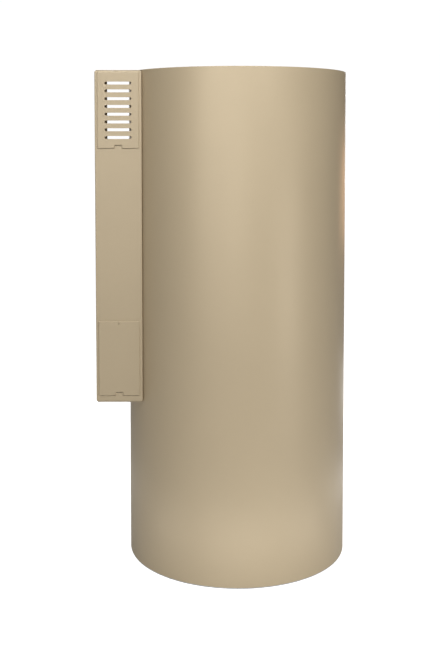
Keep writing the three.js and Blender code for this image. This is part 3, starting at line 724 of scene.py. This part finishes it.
def relief_valve():
    angle, z, _ = PORTS["relief_valve"]
    at = outward(angle, z)
    collar("relief_valve_collar", "relief_valve", PIPE_R)
    inlet = [(0, 236), (PIPE_R, 236), (PIPE_R, 282), *threads(PIPE_R, 282, 291.5), (12, 292.2),
             (12, 294), (0, 294)]
    shell = rounded([(0, 304), (18.5, 304, 0.6), (20, 307, 1), (20, 338, 2), (17.5, 342),
                     (17.5, 345, 0.5), (16, 346, 0.3), (16, 362, 1.5), (13.5, 366, 1), (4, 366),
                     (0, 366)])
    stem = rod(2.8, 360, 372.3, 32, ALONG_X)
    down = moved(324)
    outlet = [(0, 0), (14, 0), (14, -24), (12.9, -25), *((r, -k) for r, k in threads(14, 26, 45)),
              (12.6, -46), (0, -46)]
    ears = [block(362, 378, y0, y1, 1, 14) for y0, y1 in ((-10.6, -8.4), (8.4, 10.6))]
    body = join(hexagon(34, 292, 305, 1.2, ALONG_X), lathe(inlet, 64, ALONG_X),
                lathe(shell, 96, ALONG_X), stem, lathe(outlet, 64, down), *ears)
    pivot_at = moved(373, 0, 8) @ ALONG_Y
    vents = [moved(353) @ Matrix.Rotation(radians(60 * k), 4, "X") for k in range(1, 6)]
    ports = [rod(2, 12, 22, 20, vent) for vent in vents]
    body = cut(body, rod(10.5, -47, -14, 48, down), rod(1.9, -14, 14, 24, pivot_at), together(*ports))
    body.transform(at)
    piece("relief_valve_casting", body, BRASS, "relief_valve_body", bevel=0.3)

    pin = lathe(rounded([(0, -12), (1.5, -12, 0.4), (1.5, 12, 0.4), (0, 12)]), 24, at @ pivot_at)
    piece("relief_lever_pivot", pin, STAINLESS, "relief_lever_pin")
    outline = rounded([(-7, 6, 1), (-7, -33, 6.9), (7, -33, 6.9), (7, 6, 1)], steps=10)
    tab_turn = moved(374.6) @ Matrix.Rotation(radians(90), 4, "Z") @ Matrix.Rotation(radians(90), 4, "X")
    tab = prism(outline, -2, 0, tab_turn)
    eye = rod(3.2, -4, 2, 40, moved(374.6, 0, -26) @ ALONG_X)
    lever = cut(join(tab, rod(4, -8, 8, 40, pivot_at)), eye, rod(1.9, -12, 12, 32, pivot_at))
    lever.transform(at)
    node = "relief_valve_lever"
    piece("relief_lever_plate", lever, STAINLESS, node, body=node, bevel=0.3)


def drain_valve():
    angle, z, _ = PORTS["drain"]
    at = outward(angle, z)
    collar("drain_collar", "drain", DRAIN_R)
    inlet = [(0, 236), (DRAIN_R, 236), (DRAIN_R, 284), *threads(DRAIN_R, 284, 294.5, 1.5), (9.3, 296),
             (0, 296)]
    shell = [(0, 304), (14, 304, 0.5), (16, 308, 1.5), (16, 328, 2), (12.4, 333, 1.5), (10.8, 334.5),
             *threads(12, 335, 355, 2.4, 1.2), (10.9, 355.4), (10.4, 356), (0, 356)]
    here = moved(319)
    stem = lathe(rounded([(0, 0), (6, 0), (6, 23, 0.6), (4, 24.4), (4, 33, 0.6), (0, 33)]), 48, here)
    body = join(hexagon(27, 295, 305, 1, ALONG_X), lathe(inlet, 64, ALONG_X),
                lathe(rounded(shell, closed=False), 96, ALONG_X), stem)
    body = cut(body, rod(7, 336, 358, 48, ALONG_X))
    body.transform(at)
    piece("drain_valve_casting", body, BRASS, "drain_valve_body", bevel=0.25)

    hub = lathe(rounded([(4.3, 24.5), (9, 24.5, 0.8), (9, 35, 1.5), (4.3, 35, 0.5)]), 64, here)
    arm = rounded([(-6, 5), (-7, 61, 6.9), (7, 61, 6.9), (6, 5)], steps=8)
    blade = prism(arm, 28, 33, here)
    groove = rounded([(-3.2, 14, 2), (-3.8, 52, 3), (3.8, 52, 3), (3.2, 14, 2)])
    blade = cut(blade, prism(groove, 31.8, 36, here))
    handle = cut(join(hub, blade), rod(4.3, 20, 40, 48, here))
    handle.transform(at)
    node = "drain_valve_handle"
    piece("drain_handle_blade", handle, RED, node, body=node, bevel=0.7, segments=3)


def element():
    angle, z, _ = PORTS["element"]
    at = outward(angle, z) @ ALONG_X
    seat = TANK_R + 42 + GAP
    gasket = lathe(rounded([(24, seat), (32, seat), (32, seat + 2), (24, seat + 2)], 0.6, 3), 96, at)
    piece("element_seal", gasket, RUBBER, "element_gasket")
    face = seat + 2 + GAP
    head = join(hexagon(48, face, face + 9, 1.2), rod(23.5, TANK_R - 4, face + 0.5, 96))
    head.transform(at)
    piece("element_hex_head", head, BRASS, "element_head", bevel=0.4)
    cap = rounded([(0, 9.3), (16, 9.3, 0.4), (16, 15, 1), (13, 17, 0.8), (0, 17)])
    stud = [(0, 14), (2.4, 14), (2.4, 18), *threads(2.4, 18, 23.6, 0.8, 0.35), (2, 24), (0, 24)]
    body = join(lathe(cap, 96), *(lathe(stud, 32, moved(0, y, 0)) for y in (-6, 6)))
    body.transform(at @ moved(0, 0, face))
    piece("element_terminal_cap", body, BLACK, "element_terminals", bevel=0.2)


# ---------- Controls behind the service hatch ----------
def controls():
    x_right = -266.05
    inner = [(-345, TRAY_FRONT), (x_right, TRAY_FRONT, 2.4), (x_right, -90), (x_right - SHEET, -90),
             (x_right - SHEET, TRAY_FRONT + SHEET, 0.9), (-345, TRAY_FRONT + SHEET)]
    tray = prism(rounded(inner), 440, 612)
    holes = [(*DIAL, 5), (*RESET, 4.4), (-306, 513, 9)]
    cutters = [rod(r, -130, -100, 48, moved(x, 0, z) @ ALONG_Y) for x, z, r in holes]
    tray = cut(tray, together(*cutters))
    piece("control_tray_sheet", tray, GALVANISED, "control_tray", bevel=0.25)

    back = TRAY_FRONT + SHEET + GAP
    x, z = DIAL
    shaft = rod(3, -130, back + 1, 40, moved(x, 0, z) @ ALONG_Y)
    body = join(block(x - 25, x + 25, back, back + 28, 536, 606), shaft)
    body = cut(body, rod(4.3, back - 1, back + 10, 40, moved(RESET[0], 0, RESET[1]) @ ALONG_Y))
    piece("thermostat_case", body, BLACK, "thermostat_body", bevel=0.8, segments=3)

    knob_at = moved(x, TRAY_FRONT - 0.8, z) @ FORWARD
    knob = lathe(rounded([(3.3, 0), (19, 0, 0.5), (19, 3.6, 1.2), (16.2, 5, 0.6), (15.4, 12.4, 1.6),
                          (13, 13.4), (13, 12.6), (3.3, 12.6)]), 96)
    around = [Matrix.Rotation(radians(15 * k), 4, "Z") for k in range(24) if k != 6]  # one at the pointer
    flutes = [rod(1.1, 5.5, 16, 16, turn @ moved(16.6)) for turn in around]
    knob = join(cut(knob, together(*flutes)), block(-1.3, 1.3, 3.3, 14.6, 12, 14.0))
    knob.transform(knob_at)
    piece("thermostat_knob", knob, IVORY, "thermostat_dial", "thermostat_dial", bevel=0.2)

    button = lathe(rounded([(0, -7), (3.9, -7, 0.4), (3.9, 6, 0.9), (0, 6)]), 48,
                   moved(RESET[0], TRAY_FRONT, RESET[1]) @ FORWARD)
    piece("reset_button_cap", button, RED, "reset_button", "reset_button")

    ticks = []
    for k in range(10):
        turn = Matrix.Rotation(radians(-135 + 30 * k), 4, "Z")
        ticks.append(block(-0.5, 0.5, 20.5, 24.5 if k % 3 == 0 else 23, 0.02, 0.22, turn))
    scale = together(*ticks)
    scale.transform(moved(x, TRAY_FRONT, z) @ FORWARD)
    piece("dial_scale_marks", scale, BLACK, ())

    terminals()
    wiring()


def terminals():
    front = TRAY_FRONT - GAP
    body = join(block(-338, -274, front - 9, front, 462, 492),
                block(-338, -274, front - 15, front - 8, 466, 492))
    wells, heads = [], []
    for x, lead_x in ((-326, -322), (-306, -300), (-286, -284)):
        wells.append(rod(4, front - 16, front - 9, 32, moved(x, 0, 476) @ ALONG_Y))
        wells.append(rod(2.6, 485, 495, 24, moved(lead_x, front - 7.5)))
        head = rounded([(0, 0), (3.4, 0), (3.4, 1.6, 0.5), (0, 1.6)])
        slot = block(x - 0.45, x + 0.45, front - 12, front - 10.1, 470, 482)
        heads.append(cut(lathe(head, 32, moved(x, front - 9.1, 476) @ FORWARD), slot))
    body = cut(body, together(*wells))
    piece("terminal_block_moulding", body, IVORY, "terminal_block", bevel=0.5)
    piece("terminal_screws", together(*heads), BRASS, (), bevel=0.15)
    stud = hexagon(6, -5, 0, 0.5)
    stud.transform(moved(-276, front, 516) @ ALONG_Y)
    piece("earth_stud_head", stud, BRASS, "earth_stud", bevel=0.15)


def wiring():
    front = TRAY_FRONT - GAP
    y = front - 7.5
    leads = {
        "live_lead": (BROWN_WIRE, "brown_pvc", [
            (-322, y, 492.4), (-322, y - 1, 501), (-314, -123, 511), (-311, -112, 515), (-311, -103, 523),
            (-311, -101, 535.6)]),
        "neutral_lead": (BLUE_WIRE, "blue_pvc", [
            (-300, y, 492.4), (-300, y - 1, 501), (-301, -123, 509), (-301, -112, 511), (-308, -60, 503),
            (-318, -22, 505), (-319, 0, 515), (-305.4, 6, 520)]),
        "switched_lead": (BROWN_WIRE, "brown_pvc", [
            (-296, -100, 535.6), (-296, -98, 527), (-304, -60, 523), (-312, -30, 523), (-316, -12, 522),
            (-305.4, -6, 520)]),
        "earth_lead": (GREEN_WIRE, "green_pvc", [
            (-284, y, 492.4), (-284, y - 1, 500), (-278, front - 6.6, 507), (-276, front - 7.2, 516)]),
    }
    for node, (material, slot, points) in leads.items():
        piece(node + "_wire", tube(points, 1.5), material, node)


# ---------- Hidden pieces ----------
def hidden():
    for nodes, material, bevel in (
        (("tank_shell", "tank_top_head", "tank_bottom_head"), ENAMEL, 0),
        (("insulation", "base_insulation"), FOAM, 0),
        (("tank_support_ring",), GALVANISED, 0),
        (("anode_spud",), ZINC, 0),
        (("anode_rod",), MAGNESIUM, 0),
        (("cold_inlet_diffuser",), IVORY, 0),
        (("thermostat_pocket",), STAINLESS, 0),
        (("heating_element", "thermostat_bulb"), COPPER, 0),
        (("service_hatch_clip",), GALVANISED, 0.2),
    ):
        for node in nodes:
            finish_cad(node, material, bevel)


# ---------- Floor, light and camera ----------
WHITE = (1, 1, 1, 1)
FLOOR_SEEN, BACKDROP_SEEN = 1.05, 1.02  # what the camera sees
FLOOR_ALBEDO = 0.4
FLOOR_GLOW = 0.18
WORLD_FILL = 0.03


def floor():
    """White to the camera, and to everything else a matt floor with a faint glow."""
    mesh = bpy.data.meshes.new("studio_floor")
    half = 30  # metres
    corners = [(-half, -half, 0), (half, -half, 0), (half, half, 0), (-half, half, 0)]
    mesh.from_pydata(corners, [], [(0, 1, 2, 3)])
    obj = bpy.data.objects.new("studio_floor", mesh)
    scene.collection.objects.link(obj)
    material = bpy.data.materials.new("studio_white")
    material.use_nodes = True
    tree = material.node_tree
    tree.nodes.clear()
    out = add_node(tree, "ShaderNodeOutputMaterial")
    path = add_node(tree, "ShaderNodeLightPath")
    matt = add_node(tree, "ShaderNodeBsdfDiffuse")
    matt.inputs["Color"].default_value = (FLOOR_ALBEDO, FLOOR_ALBEDO, FLOOR_ALBEDO, 1)
    seen = add_node(tree, "ShaderNodeEmission")
    seen.inputs["Strength"].default_value = FLOOR_SEEN
    glow = add_node(tree, "ShaderNodeEmission")
    glow.inputs["Strength"].default_value = FLOOR_GLOW
    choose = add_node(tree, "ShaderNodeMixShader")
    both = add_node(tree, "ShaderNodeAddShader")
    tree.links.new(path.outputs["Is Camera Ray"], choose.inputs["Fac"])
    tree.links.new(glow.outputs["Emission"], choose.inputs[1])
    tree.links.new(seen.outputs["Emission"], choose.inputs[2])
    tree.links.new(matt.outputs["BSDF"], both.inputs[0])
    tree.links.new(choose.outputs["Shader"], both.inputs[1])
    tree.links.new(both.outputs["Shader"], out.inputs["Surface"])
    mesh.materials.append(material)


def backdrop():
    """White to the camera, and a faint fill to everything else."""
    world = bpy.data.worlds.new("studio")
    world.use_nodes = True
    scene.world = world
    tree = world.node_tree
    tree.nodes.clear()
    out = add_node(tree, "ShaderNodeOutputWorld")
    path = add_node(tree, "ShaderNodeLightPath")
    choose = add_node(tree, "ShaderNodeMixShader")
    fill = add_node(tree, "ShaderNodeBackground")
    fill.inputs["Color"].default_value = WHITE
    fill.inputs["Strength"].default_value = WORLD_FILL
    seen = add_node(tree, "ShaderNodeBackground")
    seen.inputs["Color"].default_value = WHITE
    seen.inputs["Strength"].default_value = BACKDROP_SEEN
    tree.links.new(path.outputs["Is Camera Ray"], choose.inputs["Fac"])
    tree.links.new(fill.outputs["Background"], choose.inputs[1])
    tree.links.new(seen.outputs["Background"], choose.inputs[2])
    tree.links.new(choose.outputs["Shader"], out.inputs["Surface"])


# name: (degrees right of the front, distance, height, height of the aim, width, tall, watts)
LIGHTS = {
    "key_right": (34, 2.7, 2.5, 0.8, 0.9, 1.1, 19),
    "fill_right": (20, 2.7, 2.5, 0.8, 0.9, 1.1, 29),
    "key_left": (-20, 1.55, 1.9, 0.9, 0.5, 0.8, 8.3),
    "front": (-4, 1.55, 1.0, 0.8, 0.5, 0.8, 2.7),
    "low_left": (-30, 2.7, 1.05, 0.4, 0.7, 0.6, 6.6),
    "low_right": (50, 2.7, 0.4, 0.4, 0.7, 0.6, 6.3),
    "floor_front": (0, 0.5, 0.01, 0.25, 0.5, 0.12, 0.37),
    "floor_right": (50, 0.5, 0.01, 0.25, 0.4, 0.12, 0.23),
    "floor_left": (-50, 0.5, 0.01, 0.25, 0.4, 0.12, 0.16),
    "floor_rim_right": (105, 0.6, 0.01, 0.3, 0.6, 0.14, 0.3),
    "floor_rim_left": (-105, 0.6, 0.01, 0.3, 0.6, 0.14, 0.1),
    "rim_right": (140, 1.3, 0.12, 0.15, 0.4, 0.2, 0.4),
    "rim_warm": (140, 1.7, 0.85, 0.85, 0.3, 0.4, 1.6),
    "back_left": (-165, 2.7, 1.2, 0.7, 0.8, 0.9, 17),
    "back_right": (165, 2.7, 1.2, 0.7, 0.8, 0.9, 17),
    "overhead": (0, 0.01, 3.4, 0.0, 2.0, 2.0, 48),
}
TINTS = {"rim_warm": (1, 0.6, 0.35)}


def lights():
    for name, (turn, distance, height, aim, width, tall, watts) in LIGHTS.items():
        data = bpy.data.lights.new(name, "AREA")
        data.shape = "RECTANGLE"
        data.size, data.size_y = width, tall
        data.energy = watts
        data.color = TINTS.get(name, (1, 1, 1))
        lamp = bpy.data.objects.new(name, data)
        lamp.location = (distance * math.sin(radians(turn)), -distance * math.cos(radians(turn)), height)
        lamp.rotation_euler = (Vector((0, 0, aim)) - lamp.location).to_track_quat("-Z", "Y").to_euler()
        lamp.visible_camera = False
        scene.collection.objects.link(lamp)


def camera():
    data = bpy.data.cameras.new("camera")
    data.lens = 54.0
    data.sensor_width = 36
    data.shift_y = -0.21
    obj = bpy.data.objects.new("camera", data)
    obj.location = (-0.066, -2.5822, 1.074)
    tilt, turn = -0.0543, -0.0084  # radians
    obj.rotation_euler = (math.pi / 2 + tilt, 0, turn)
    scene.collection.objects.link(obj)
    scene.camera = obj


scene.view_settings.view_transform = "Standard"
floor()
backdrop()
lights()
camera()
jacket()
lid()
base_pan()
service_cover()
cover_caps()
hatches()
straps()
pipes()
relief_valve()
drain_valve()
element()
controls()
hidden()
